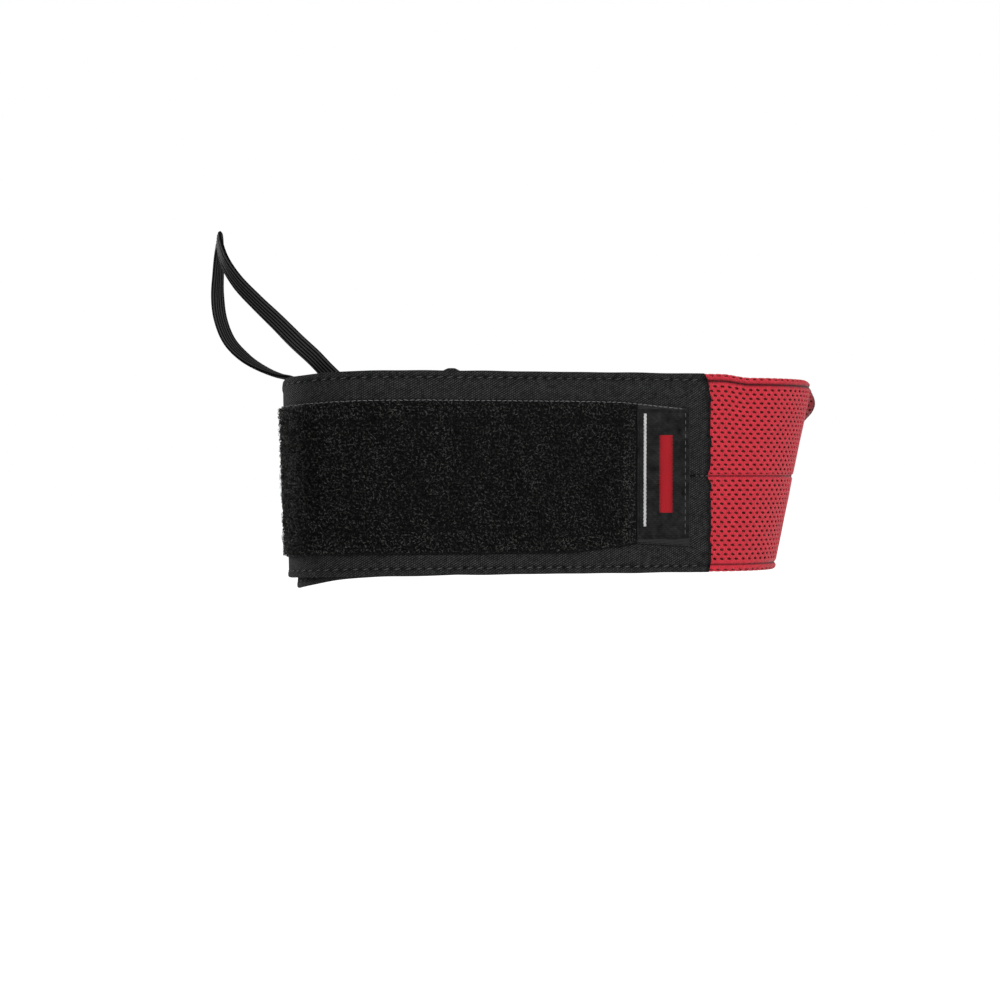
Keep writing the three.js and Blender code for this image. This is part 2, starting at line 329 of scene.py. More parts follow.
# Cloth tone: the uneven dye and lint of a worn cloth, over the piece's own place in space, times the painted
# shade it is given as Shade.
group, enter, leave = node_group(
    "cloth_tone",
    {"Colour": (0.5, 0.5, 0.5, 1.0), "Patch Size": 0.01, "Unevenness": 0.2, "Shade": 1.0},
    ["Colour"],
)
place = group.nodes.new("ShaderNodeTexCoord").outputs["Object"]
patches = group.nodes.new("ShaderNodeTexNoise")
set_inputs(patches, {"Detail": 6.0, "Roughness": 0.7})
group.links.new(place, patches.inputs["Vector"])
group.links.new(sum_node(group, "DIVIDE", 1.0, enter.outputs["Patch Size"]), patches.inputs["Scale"])
swing = sum_node(group, "MULTIPLY", sum_node(group, "SUBTRACT", patches.outputs["Fac"], 0.5), 2.0)
gain = sum_node(group, "MULTIPLY_ADD", swing, enter.outputs["Unevenness"], 1.0)
tint = group.nodes.new("ShaderNodeVectorMath")
tint.operation = "SCALE"
group.links.new(enter.outputs["Colour"], tint.inputs[0])
group.links.new(sum_node(group, "MULTIPLY", gain, enter.outputs["Shade"]), tint.inputs["Scale"])
group.links.new(tint.outputs["Vector"], leave.inputs["Colour"])

# Yarn rows: ridges of yarn side by side, each broken into short floats, on the flat cloth in millimetres.
group, enter, leave = node_group(
    "yarn_rows",
    {"Pitch": 0.7, "Slant": 0.0, "Float Length": 1.6, "Step": 0.37},
    ["Height", "Ridge"],
)
cloth = group.nodes.new("ShaderNodeUVMap")
cloth.uv_map = "flat"
lean = group.nodes.new("ShaderNodeVectorRotate")
lean.rotation_type = "Z_AXIS"
group.links.new(cloth.outputs["UV"], lean.inputs["Vector"])
group.links.new(enter.outputs["Slant"], lean.inputs["Angle"])
split = group.nodes.new("ShaderNodeSeparateXYZ")
group.links.new(lean.outputs["Vector"], split.inputs["Vector"])
rows = sum_node(group, "DIVIDE", split.outputs["Y"], enter.outputs["Pitch"])
number = sum_node(group, "FLOOR", rows)
across_row = sum_node(group, "MULTIPLY_ADD", sum_node(group, "FRACT", rows), 2.0, -1.0)
ridge = sum_node(group, "SUBTRACT", 1.0, sum_node(group, "MULTIPLY", across_row, across_row))
floats = sum_node(group, "DIVIDE", split.outputs["X"], enter.outputs["Float Length"])
shifted = sum_node(group, "MULTIPLY_ADD", number, enter.outputs["Step"], floats)
half_wave = sum_node(group, "MULTIPLY", sum_node(group, "FRACT", shifted), math.pi)
along_float = sum_node(group, "SINE", half_wave)
height = sum_node(group, "MULTIPLY", ridge, sum_node(group, "MULTIPLY_ADD", along_float, 0.55, 0.45))
group.links.new(height, leave.inputs["Height"])
group.links.new(ridge, leave.inputs["Ridge"])

# Painted line shade: painted shade where stitches draw the flat cloth in along a line. It stands for the
# shadow in the sunk seam and is deepest at the needle holes.
# A very wide one paints shade over the whole cloth past a place along it,
# or up to there where its ease is below zero.
group, enter, leave = node_group(
    "painted_line_shade",
    {
        "Place": 0.0, "Width": 0.5, "Step": 2.4, "Needle": 0.5, "Depth": 0.6,
        "From": -1000.0, "Ease": 0.5,
    },
    ["Shade"],
)
cloth = group.nodes.new("ShaderNodeUVMap")
cloth.uv_map = "flat"
split = group.nodes.new("ShaderNodeSeparateXYZ")
group.links.new(cloth.outputs["UV"], split.inputs["Vector"])
away = sum_node(group, "SUBTRACT", split.outputs["Y"], enter.outputs["Place"])
away = sum_node(group, "DIVIDE", away, enter.outputs["Width"])
fall = sum_node(group, "MULTIPLY", sum_node(group, "MULTIPLY", away, away), -1.0)
line = sum_node(group, "EXPONENT", fall)
phase = sum_node(group, "FRACT", sum_node(group, "DIVIDE", split.outputs["X"], enter.outputs["Step"]))
from_needle = sum_node(group, "ABSOLUTE", sum_node(group, "MULTIPLY_ADD", phase, 2.0, -1.0))
hole = sum_node(group, "POWER", from_needle, 5.0)
even = sum_node(group, "SUBTRACT", 1.0, enter.outputs["Needle"])
amount = sum_node(group, "MULTIPLY_ADD", hole, enter.outputs["Needle"], even)
past = sum_node(group, "SUBTRACT", split.outputs["X"], enter.outputs["From"])
past = sum_node(group, "DIVIDE", past, enter.outputs["Ease"])
begun = sum_node(group, "MINIMUM", sum_node(group, "MAXIMUM", past, 0.0), 1.0)
deep = sum_node(group, "MULTIPLY", enter.outputs["Depth"], begun)
dark = sum_node(group, "MULTIPLY", sum_node(group, "MULTIPLY", line, amount), deep)
group.links.new(sum_node(group, "SUBTRACT", 1.0, dark), leave.inputs["Shade"])


def use_group(tree, name, values):
    """A node that works one of the shader groups with the given inputs."""
    node = tree.nodes.new("ShaderNodeGroup")
    node.node_tree = bpy.data.node_groups[name]
    set_inputs(node, values)
    return node


def two_tones(tree, dark, light, share):
    """A colour between two, by the share that a socket gives."""
    shades = tree.nodes.new("ShaderNodeMix")
    shades.data_type = "RGBA"
    set_inputs(shades, {"A": (*dark, 1.0), "B": (*light, 1.0)})
    tree.links.new(share, shades.inputs["Factor"])
    return shades.outputs["Result"]


def yarn_cloth(
    name, dark, light, pitch, slant, float_length, relief, roughness,
    sheen=0.0, unevenness=0.25, gloss=0.12, crisp=1.0, step=0.37, patch=0.004, painted_seam_shades=(),
):
    """A woven or knitted cloth: yarn in rows, dark in the hollows between them and pale on their ridges,
    partly the yarn's own tone and partly painted shade, with relief, uneven dye and painted shade along its
    seams.
    The pitch and the floats are in millimetres. With no float length the yarn runs on unbroken."""
    material, tree, shader = new_material(name)
    rows = {"Pitch": pitch, "Slant": slant, "Float Length": float_length or 1.0, "Step": step}
    yarn = use_group(tree, "yarn_rows", rows)
    height = yarn.outputs["Height"] if float_length else yarn.outputs["Ridge"]
    tone = use_group(tree, "cloth_tone", {"Patch Size": patch, "Unevenness": unevenness})
    colour = two_tones(tree, dark, light, sum_node(tree, "POWER", height, crisp))
    tree.links.new(colour, tone.inputs["Colour"])
    shade = None
    # Painted shade from each seam line multiplies the cloth's colour.
    for seam in painted_seam_shades:
        sewn = use_group(tree, "painted_line_shade", seam).outputs["Shade"]
        shade = sum_node(tree, "MULTIPLY", shade, sewn) if shade else sewn
    if shade:
        tree.links.new(shade, tone.inputs["Shade"])
    tree.links.new(tone.outputs["Colour"], shader.inputs["Base Color"])
    bump = tree.nodes.new("ShaderNodeBump")
    set_inputs(bump, {"Strength": 1.0, "Distance": relief})
    tree.links.new(height, bump.inputs["Height"])
    tree.links.new(bump.outputs["Normal"], shader.inputs["Normal"])
    set_inputs(shader, {"Roughness": roughness, "Specular IOR Level": gloss})
    set_inputs(shader, {"Sheen Weight": sheen, "Sheen Roughness": 0.5})
    return material


lining_cloth = yarn_cloth(
    "lining_net", dark=(0.24, 0.012, 0.020), light=(0.50, 0.028, 0.050),
    pitch=0.36, slant=0.55, float_length=0.7, relief=0.12 * MM, roughness=0.85, sheen=0.15,
)
STRAP_HALF = STRAP_WIDTH / 2
LINING_HALF = STRAP_HALF - LINING_INSET
LINING_START, LINING_END = 1.2 * MM, STRAP_LENGTH - 2.4 * MM
LEFT_PUCKER = {"along": length_to(180.0), "half_width": 5.4 * MM, "depth": 2.8 * MM, "reaches_down": 9 * MM}


def mound(away, half_width):
    """A smooth mound, one high, by how far away its middle is."""
    return np.exp(-((away / half_width) ** 2))


def wind_puckered(flat):
    """Winds the strap with its top edge drawn down in a pucker on the left."""
    along, across, out = np.asarray(flat, float).T
    gathered = mound(along - LEFT_PUCKER["along"], LEFT_PUCKER["half_width"])
    near_edge = smoothstep(across, STRAP_HALF - LEFT_PUCKER["reaches_down"], STRAP_HALF)
    return wind(np.stack([along, across - LEFT_PUCKER["depth"] * gathered * near_edge, out], 1))


lining_mesh = punched_net(LINING_START, LINING_END, -LINING_HALF, LINING_HALF, LINING_THICK)
lining_low = min(v.co.z for v in lining_mesh.vertices)
lining_mesh.transform(Matrix.Translation((0.0, 0.0, -lining_low)))
lining = lay_down("lining_net", lining_mesh, wind_puckered, lining_cloth)
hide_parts("mesh_lining")


# Twill strap: black twill folded under along both long edges and sewn down. It is sewn to the
# lining, wound with it, and its free end is sewn over the root of the pull tab.

TWILL_BACK = LINING_THICK + PLY_GAP
HEM_WIDTH = 2.1 * MM
STITCH_STEP = 3.2 * MM
TAB_LAP = 0.7 * MM
TUCK = {"along": length_to(-56.0), "half_width": 2.4 * MM, "rise": 1.1 * MM}
TAB_FACE = 1.9 * MM
TAB_SEAM = -1.0 * MM


def swept(section, start, end, steps):
    """A flat strip: a closed section of across and out places, drawn along and closed at both ends."""
    bm = bmesh.new()
    ring = [bm.verts.new((start, across, out)) for across, out in section]
    edges = [bm.edges.new((ring[i - 1], ring[i])) for i in range(len(ring))]
    step = ((end - start) / steps, 0.0, 0.0)
    still = {"cent": (0, 0, 0), "axis": (0, 0, 1), "angle": 0.0}
    drawn = bmesh.ops.spin(bm, geom=ring + edges, dvec=step, steps=steps, **still)
    last = [item for item in drawn["geom_last"] if isinstance(item, bmesh.types.BMEdge)]
    for rim in (edges, last):
        cap = bmesh.ops.contextual_create(bm, geom=rim)["faces"]
        for edge in cap[0].edges:
            edge.smooth = False
        bmesh.ops.triangulate(bm, faces=cap, ngon_method="BEAUTY")
    bmesh.ops.recalc_face_normals(bm, faces=bm.faces)
    return as_mesh(bm, "strip")


def ply_section(bottom, top, inner, outer, spacing, back_spacing, rim_steps=5):
    """A ply's section, with round edges: its face from the bottom edge to the top one, then its back."""
    radius = (outer - inner) / 2
    arc = np.linspace(-math.pi / 2, math.pi / 2, rim_steps + 2)[1:-1]
    face = np.linspace(bottom + radius, top - radius, int((top - bottom) / spacing) + 1)
    back = np.linspace(top - radius, bottom + radius, int((top - bottom) / back_spacing) + 2)
    return (
        [(across, outer) for across in face]
        + [(top - radius + radius * math.cos(a), inner + radius - radius * math.sin(a)) for a in arc]
        + [(across, inner) for across in back]
        + [(bottom + radius - radius * math.cos(a), inner + radius + radius * math.sin(a)) for a in arc]
    )


def ripple(along, across, wave):
    """A slow unevenness of hand-worked cloth, between about -1 and 1."""
    u, v = along / wave, across / wave
    waves = ((2.1, 1.3, 0.0), (3.7, -0.8, 1.9), (5.3, 2.9, 4.1))
    return sum(np.sin(a * u + b * v + c) for a, b, c in waves) / 3


def shape_strap(flat):
    """Gives the strap its hems, sunk seams, tuck, lap over the tab and uneven end, and winds it."""
    along, across, out = flat.T.copy()
    from_edge = STRAP_HALF - np.abs(across)
    on_face = smoothstep(out, TWILL_BACK + 0.3 * MM, TWILL_BACK + 0.9 * MM)
    hem = 1 - smoothstep(from_edge, HEM_WIDTH - 0.3 * MM, HEM_WIDTH + 0.4 * MM)
    seam = mound(from_edge - HEM_WIDTH, 0.5 * MM)
    pull = np.cos(2 * math.pi * along / STITCH_STEP)
    relief = HEM_RISE * hem - seam * (0.12 + 0.08 * pull) * MM
    relief += 0.07 * MM * ripple(along, across, 9 * MM)
    tug = np.sin(2 * math.pi * along / STITCH_STEP + 3 * ripple(along, across, 30 * MM))
    relief += 0.05 * MM * np.exp(-from_edge / (4 * MM)) * tug
    out = out + on_face * relief
    at_edge = np.sign(across) * (1 - smoothstep(from_edge, 0, 3 * MM))
    across = across + at_edge * 0.1 * MM * ripple(along, across * 0, 14 * MM)
    raised = np.exp(-(((along - TUCK["along"]) / TUCK["half_width"]) ** 4))
    across = across + TUCK["rise"] * raised * smoothstep(across, STRAP_HALF - 3 * MM, STRAP_HALF)
    over_tab = smoothstep(along, STRAP_LENGTH - 4.2 * MM, STRAP_LENGTH - 2.8 * MM)
    lap_back = TAB_FACE + 0.12 * MM + 0.35 * MM * (1 - smoothstep(from_edge, 2.4 * MM, 3.4 * MM))
    out = np.maximum(out, TWILL_BACK + over_tab * (lap_back - TWILL_BACK))
    near_end = smoothstep(along, STRAP_LENGTH - 9 * MM, STRAP_LENGTH + TAB_LAP)
    upper_corner = np.clip((across - (STRAP_HALF - 7 * MM)) / (7 * MM), 0, 1) ** 2
    lower_corner = np.clip((-across - (STRAP_HALF - 5 * MM)) / (5 * MM), 0, 1) ** 2
    pinch = mound(across - TAB_SEAM, 1.8 * MM)
    drawn_in = 2.2 * MM * upper_corner + 0.8 * MM * lower_corner
    drawn_in += 0.2 * MM * across / STRAP_HALF + 0.32 * MM * ripple(across, along * 0, 4 * MM)
    at_end = smoothstep(along, STRAP_LENGTH - 2.4 * MM, STRAP_LENGTH + TAB_LAP)
    along = along - near_end * drawn_in - 1.1 * MM * pinch * at_end
    groove = mound(across - TAB_SEAM, 0.6 * MM)
    groove *= smoothstep(along, STRAP_LENGTH - 5 * MM, STRAP_LENGTH - 3 * MM)
    out = out - on_face * 0.12 * MM * groove
    return wind_puckered(np.stack([along, across, out], 1))


HEM_PLACE = (STRAP_HALF - HEM_WIDTH) / MM
HEM_SEAM_SHADE = {"Width": 0.55, "Step": STITCH_STEP / MM, "Needle": 0.5, "Depth": 0.9}
WHOLE_CLOTH_SHADE = {"Width": 1000.0, "Needle": 0.0}
# Painted shade in the twill's colour: dark lines along the sunk hem seams, their needle holes and the seam
# over the tab's root, and a darker band over the last of the strap where its end turns under in shadow.
twill_cloth = yarn_cloth(
    "black_twill", dark=(0.0040, 0.0040, 0.0040), light=(0.038, 0.038, 0.039),
    pitch=0.64, slant=-0.54, float_length=0.8, relief=0.14 * MM, roughness=0.85,
    sheen=0.01, gloss=0.05, crisp=1.7, step=0.5, unevenness=1.9, patch=1.1 * MM,
    painted_seam_shades=(
        {"Place": HEM_PLACE, **HEM_SEAM_SHADE},
        {"Place": -HEM_PLACE, **HEM_SEAM_SHADE},
        {"Place": TAB_SEAM / MM, "Step": 1.9, "Needle": 0.2, "Depth": 1.0, "From": STRAP_LENGTH / MM - 7.0},
        {"Depth": 0.55, "From": STRAP_LENGTH / MM - 1.2, "Ease": 1.2, **WHOLE_CLOTH_SHADE},
    ),
)
strap_section = ply_section(-STRAP_HALF, STRAP_HALF, TWILL_BACK, FACE_OUT, 0.8 * MM, 2 * MM)
strap_mesh = swept(strap_section, 0.0, STRAP_LENGTH + TAB_LAP, 320)
strap = lay_down("twill_cloth", strap_mesh, shape_strap, twill_cloth)
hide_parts("twill_strap")


def many(bm, places):
    """One mesh of a small shape set down many times.
    A row of places gives along, across, out, tilt, turn and three sizes."""
    bm.verts.index_update()
    shape = np.array([vert.co for vert in bm.verts])
    sides = [[vert.index for vert in face.verts] for face in bm.faces]
    bm.free()
    along, across, out, tilt, turn, long, wide, high = np.asarray(places, float).T[:, :, None]
    x, y, z = shape[:, 0] * long, shape[:, 1] * wide, shape[:, 2] * high
    y, z = y * np.cos(tilt) - z * np.sin(tilt), y * np.sin(tilt) + z * np.cos(tilt)
    x, y = x * np.cos(turn) - y * np.sin(turn), x * np.sin(turn) + y * np.cos(turn)
    corners = np.stack([x + along, y + across, z + out], 2).reshape(-1, 3)
    mesh = bpy.data.meshes.new("many")
    shifts = range(0, len(corners), len(shape))
    mesh.from_pydata(corners.tolist(), [], [[i + shift for i in side] for shift in shifts for side in sides])
    return mesh


def stitch_bead():
    """One stitch: a bead of thread along x, one unit each way."""
    bm = bmesh.new()
    bmesh.ops.create_uvsphere(bm, u_segments=6, v_segments=6, radius=0.5)
    bmesh.ops.rotate(bm, verts=bm.verts, cent=(0, 0, 0), matrix=Matrix.Rotation(math.pi / 2, 3, "Y"))
    return bm


def stitch_line(start, end, step, out, share=0.72, slant=0.0, wide=0.42, high=0.3):
    """Rows for a straight line of stitches between two flat places."""
    (u0, v0), (u1, v1) = start, end
    count = max(1, round(math.hypot(u1 - u0, v1 - v0) / step))
    heading = math.atan2(v1 - v0, u1 - u0)
    rows = []
    for i in range(count):
        t = (i + 0.5) / count
        sway = 0.12 * math.sin(12.9 * i)
        place = (u0 + (u1 - u0) * t, v0 + (v1 - v0) * t, out)
        turned = (0.0, heading + slant + 0.06 * sway)
        rows.append((*place, *turned, step * (share + 0.3 * sway), wide * MM, high * MM))
    return rows


def sew(name, rows, lay_out, material):
    """A piece made of rows of stitches."""
    return lay_down(name, many(stitch_bead(), rows), lay_out, material)


def thread(name, colour, roughness):
    """Twisted polyester thread, with fine diagonal plies, darker between them, partly painted shade."""
    shaded = tuple(c * 0.55 for c in colour)
    twist = {"pitch": 0.22, "slant": 0.7, "float_length": 0.5, "relief": 0.05 * MM}
    return yarn_cloth(name, shaded, colour, roughness=roughness, **twist)


dark_thread = thread("black_thread", (0.095, 0.095, 0.096), 0.6)
HEM_END = STITCH_STEP * int(STRAP_LENGTH / STITCH_STEP)
hem_stitch = {"step": STITCH_STEP, "out": FACE_OUT + 0.02 * MM, "share": 0.62, "slant": 0.2, "wide": 0.27}
strap_rows = []
for across in (HEM_WIDTH - STRAP_HALF, STRAP_HALF - HEM_WIDTH):
    strap_rows += stitch_line((0.0, across), (HEM_END, across), **hem_stitch)
strap_rows += stitch_line(
    (STRAP_LENGTH - 5 * MM, TAB_SEAM), (STRAP_LENGTH + 0.4 * MM, TAB_SEAM),
    step=1.9 * MM, out=FACE_OUT - 0.08 * MM, wide=0.3, high=0.2,
)
strap_thread = sew("strap_stitches", strap_rows, wind_puckered, dark_thread)


# Pile patch: a woven black tape that carries a nap of fine nylon loops, sewn to the strap's outer
# face from the back of the winding to the label. Pale thread runs along its upper edge, and a sewn
# box, sunk in the nap, holds it down inside its edges.

PATCH_HEIGHT = 48 * MM
PATCH_START = length_to(112.0)
TAPE_THICK = 0.5 * MM
TAPE_OUT = FACE_OUT + PLY_GAP
TAPE_FACE = TAPE_OUT + TAPE_THICK
LABEL_FROM_END = 6.9 * MM
LABEL_WIDTH = 17.3 * MM
LABEL_HEIGHT = 41.0 * MM
TAPE_END = STRAP_LENGTH - 6.5 * MM
PILE_END = STRAP_LENGTH - LABEL_FROM_END - LABEL_WIDTH
# The upper and lower edge of the tape near its end, where it was sewn a little askew.
TAPE_EDGES = np.array([
    # back from the strap's end, upper edge, lower edge
    (400.0, 22.8, -25.2),
    (46.0, 22.8, -25.2),
    (30.0, 22.6, -23.4),
    (24.0, 22.1, -22.4),
    (5.6, 20.3, -23.5),
]) * MM


def tape_edges(along):
    """The heights of the tape's upper and lower edge at places along the strap."""
    back = STRAP_LENGTH - along
    return read_off(-back, -TAPE_EDGES[:, 0], TAPE_EDGES[:, 1:])


def shape_tape(flat):
    """Draws the straight tape to its two edges, with small lumps on its face, and winds it."""
    along, share, out = flat.T
    upper, lower = tape_edges(along)
    lump = 0.06 * MM * ripple(along, share * PATCH_HEIGHT, 5 * MM) * (out > TAPE_OUT + 0.3 * MM)
    across = lower + (share / PATCH_HEIGHT + 0.5) * (upper - lower)
    return wind(np.stack([along, across, out + lump], 1))


# Under the nap the tape's colour is darkened almost to black, painted shade of the loops over it. Only the
# bare end of the tape, round the label, keeps the cloth's own tone.
tape_cloth = yarn_cloth(
    "pile_tape", dark=(0.005, 0.005, 0.005), light=(0.034, 0.034, 0.035),
    pitch=0.5, slant=0.0, float_length=0.8, relief=0.1 * MM, roughness=0.9,
    painted_seam_shades=({"Depth": 0.86, "From": PILE_END / MM + 0.5, "Ease": -0.5, **WHOLE_CLOTH_SHADE},),
)
PATCH_HALF = PATCH_HEIGHT / 2
tape_section = ply_section(-PATCH_HALF, PATCH_HALF, TAPE_OUT, TAPE_FACE, 1.5 * MM, 8 * MM)
tape_mesh = swept(tape_section, PATCH_START, TAPE_END, 150)
tape = lay_down("pile_tape", tape_mesh, shape_tape, tape_cloth)
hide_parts("pile_patch")

PILE_LOOPS = 8800
PILE_LAYERS = 3
PILE_CURL = {"radius": 0.42, "sides": 3, "turn": math.radians(200), "steps": 3, "from_x": math.radians(-10)}
PILE_YARN = 0.15
PILE_MARGIN = 0.7 * MM
PILE_SEAM = {"end": STRAP_LENGTH - 29.4 * MM, "upper": 16.6 * MM, "lower": -17.8 * MM}


def curl(yarn, radius, sides, turn, steps, from_x, capped=False):
    """One curl of yarn round z, about a unit across, its ends open or capped."""
    bm = bmesh.new()
    place = Matrix.Translation((radius, 0, 0)) @ Matrix.Rotation(math.pi / 2, 4, "X")
    bmesh.ops.create_circle(bm, cap_ends=capped, segments=sides, radius=yarn, matrix=place)
    ring = bm.faces[:] or bm.verts[:] + bm.edges[:]
    bmesh.ops.spin(bm, geom=ring, cent=(0, 0, 0), axis=(0, 0, 1), angle=turn, steps=steps)
    bmesh.ops.rotate(bm, verts=bm.verts, cent=(0, 0, 0), matrix=Matrix.Rotation(from_x, 3, "Z"))
    bmesh.ops.recalc_face_normals(bm, faces=bm.faces)
    return bm


def loop_yarn(name, lit_tip_colour):
    """Fine nylon yarn, painted black at its root as shade deep in the nap, and paler towards its lit tip."""
    material, tree, shader = new_material(name)
    reach = tree.nodes.new("ShaderNodeAttribute")
    reach.attribute_name = "tip"
    shades = two_tones(tree, (0.0004, 0.0004, 0.0004), lit_tip_colour, reach.outputs["Fac"])
    tree.links.new(shades, shader.inputs["Base Color"])
    set_inputs(shader, {"Roughness": 0.6, "Specular IOR Level": 0.02})
    return material


pile_yarn = loop_yarn("pile_yarn", (0.074, 0.074, 0.071))


def mark_tip_shading(mesh, tip):
    """Keeps on the mesh how pale each of its points is painted: painted shade near the root of its loop and
    painted light at its tip.
    """
    reach = mesh.attributes.new("tip", "FLOAT", "POINT")
    reach.data.foreach_set("value", tip.ravel().astype(np.float32))


chance = np.random.default_rng(7)
columns = round(math.sqrt(PILE_LOOPS * (PILE_END - PATCH_START) / PATCH_HEIGHT))
rows_down = round(PILE_LOOPS / columns)
pile_run = PILE_END - PATCH_START - 2 * PILE_MARGIN
grid = np.stack(np.meshgrid(np.arange(columns), np.arange(rows_down), indexing="ij"), 2).reshape(-1, 2)
for layer in range(PILE_LAYERS):
    share = (grid + 0.5 + chance.uniform(-0.6, 0.6, grid.shape)) / (columns, rows_down)
    loop_along = PATCH_START + PILE_MARGIN + share[:, 0].clip(0, 1) * pile_run
    upper, lower = tape_edges(loop_along)
    loop_across = lower + PILE_MARGIN + share[:, 1].clip(0, 1) * (upper - lower - 2 * PILE_MARGIN)
    size = chance.uniform(0.50, 0.88, len(grid)) * MM
    pressed = 1 - 0.4 * smoothstep(loop_along, PILE_END - 5 * MM, PILE_END - 1 * MM)
    beyond = np.maximum(loop_across - PILE_SEAM["upper"], PILE_SEAM["lower"] - loop_across)
    beyond = np.maximum(beyond, loop_along - PILE_SEAM["end"])
    flattened = pressed - 0.35 * mound(beyond, 0.7 * MM)
    loops = np.stack([
        loop_along,
        loop_across,
        TAPE_FACE + flattened * chance.uniform(0.0, 0.75, len(grid)) * MM,
        chance.normal(math.pi / 2, 0.7, len(grid)),
        chance.uniform(0, 2 * math.pi, len(grid)),
        size, size, size * flattened,
    ], 1)
    mesh = many(curl(PILE_YARN, **PILE_CURL), loops)
    # Painted light on the loops: each tip is paled by its own random share, more past the sewn box, and
    # darkened towards the root as painted shade deep in the nap.
    lit = chance.uniform(0.0, 1.0, len(grid)) ** 0.9
    lit *= 1 + 0.3 * ripple(loop_along, loop_across, 9 * MM)
    lit *= 1 + 0.22 * (beyond > 0) + 0.4 * (loop_along > PILE_SEAM["end"])
    height = np.array([vert.co.z for vert in mesh.vertices]).reshape(len(grid), -1)
    tip = np.clip((height - TAPE_FACE) / (pressed[:, None] * MM), 0, 1) ** 1.2
    mark_tip_shading(mesh, (0.04 + 0.96 * lit[:, None]) * tip)
    lay_down(f"pile_loops_{layer + 1}", mesh, wind, pile_yarn)

# Stray loops stand up out of the nap where the tape bends round the left and the nap opens. Their pale tips
# are a painted highlight of backlit fibres at that edge, fading out further along.
STRAYS = {"count": 1700, "to": length_to(180.0) + 24 * MM, "highlight_fades_over": 22 * MM, "yarn": 0.06}
count = STRAYS["count"]
stray_along = chance.uniform(PATCH_START + PILE_MARGIN, STRAYS["to"], count)
upper, lower = tape_edges(stray_along)
size = chance.uniform(0.8, 1.5, count) * MM
strays = np.stack([
    stray_along,
    lower + PILE_MARGIN / 2 + chance.uniform(0, 1, count) * (upper - lower - PILE_MARGIN),
    TAPE_FACE + chance.uniform(0.35, 0.95, count) * MM,
    chance.normal(math.pi / 2, 0.5, count),
    chance.uniform(0, 2 * math.pi, count),
    size, size, size,
], 1)
mesh = many(curl(STRAYS["yarn"], **PILE_CURL), strays)
lit = 1 - smoothstep(stray_along, STRAYS["to"] - STRAYS["highlight_fades_over"], STRAYS["to"])
lit *= chance.uniform(0.2, 1.0, count) ** 2
mark_tip_shading(mesh, np.repeat(lit, len(mesh.vertices) // count))
stray_highlight_yarn = loop_yarn("stray_highlight_yarn", (0.17, 0.17, 0.165))
lay_down("pile_strays", mesh, wind, stray_highlight_yarn)

pale_thread = thread("grey_thread", (0.21, 0.21, 0.215), 0.6)
border_thread = thread("border_thread", (0.006, 0.006, 0.006), 0.6)
BORDER = {"step": 1.7 * MM, "upper_inset": 0.35 * MM, "lower_inset": 0.4 * MM, "sways": 0.18}
stations = np.arange(PATCH_START + 1 * MM, TAPE_END - 1 * MM, BORDER["step"])
upper_rows, lower_rows = [], []
for u0, u1 in zip(stations, stations[1:]):
    upper, lower = tape_edges(np.array([u0, u1]))
    (a0, a1), (b0, b1) = upper - BORDER["upper_inset"], lower + BORDER["lower_inset"]
    sway = BORDER["sways"] * math.sin(5.1 * u0 / BORDER["step"])
    upper_rows += stitch_line(
        (u0, a0), (u1, a1), BORDER["step"], TAPE_FACE, share=0.9, slant=sway, wide=0.24
    )
    lower_rows += stitch_line((u0, b0), (u1, b1), BORDER["step"], TAPE_FACE, wide=0.3)
upper_thread = sew("patch_upper_stitches", upper_rows, wind, pale_thread)
lower_thread = sew("patch_lower_stitches", lower_rows, wind, border_thread)


# Label: a small black satin label over the end of the pile tape, woven plain but for a red bar and
# a fine white stripe in satin stitch. Its edges are sewn down, with greyer thread on the outer side.

LABEL_OUT = TAPE_FACE + 0.05 * MM
LABEL_THICK = 0.35 * MM
LABEL_FACE = LABEL_OUT + LABEL_THICK
LABEL_START = STRAP_LENGTH - LABEL_FROM_END - LABEL_WIDTH
LABEL_END = LABEL_START + LABEL_WIDTH
LABEL_MIDDLE = -0.3 * MM
LABEL_SEAM = 0.8 * MM
OUTER_SEAM = 1.3 * MM
BAR = {"from": 7.1 * MM, "wide": 4.8 * MM, "tall": 24.4 * MM, "lifted": 0.0, "step": 0.27 * MM}
STRIPE = {"from": 2.0 * MM, "wide": 1.0 * MM, "tall": 35.6 * MM, "lifted": 1.3 * MM, "step": 0.27 * MM}


def shape_label(flat):
    """Puffs the label up inside its seam, makes its edges a little wavy, and winds it."""
    along, across, out = flat.T.copy()
    from_side = np.minimum(along - LABEL_START, LABEL_END - along)
    from_edge = LABEL_HEIGHT / 2 - np.abs(across - LABEL_MIDDLE)
    nearest = np.minimum(from_side, from_edge)
    on_face = out > LABEL_OUT + 0.2 * MM
    sewn = mound(nearest - LABEL_SEAM, 0.5 * MM)
    puff = 0.1 * MM * smoothstep(nearest, LABEL_SEAM, 4 * MM) + 0.06 * MM * ripple(along, across, 6 * MM)
    wave = 0.09 * MM * np.exp(-nearest / (2.2 * MM)) * np.sin(2 * math.pi * (along + across) / (2.4 * MM))
    out = out + on_face * (puff + wave - 0.12 * MM * sewn)
    along = along + 0.12 * MM * ripple(across, along * 0, 7 * MM)
    across = across + 0.12 * MM * ripple(along, across * 0, 6 * MM)
    return wind(np.stack([along, across, out], 1))


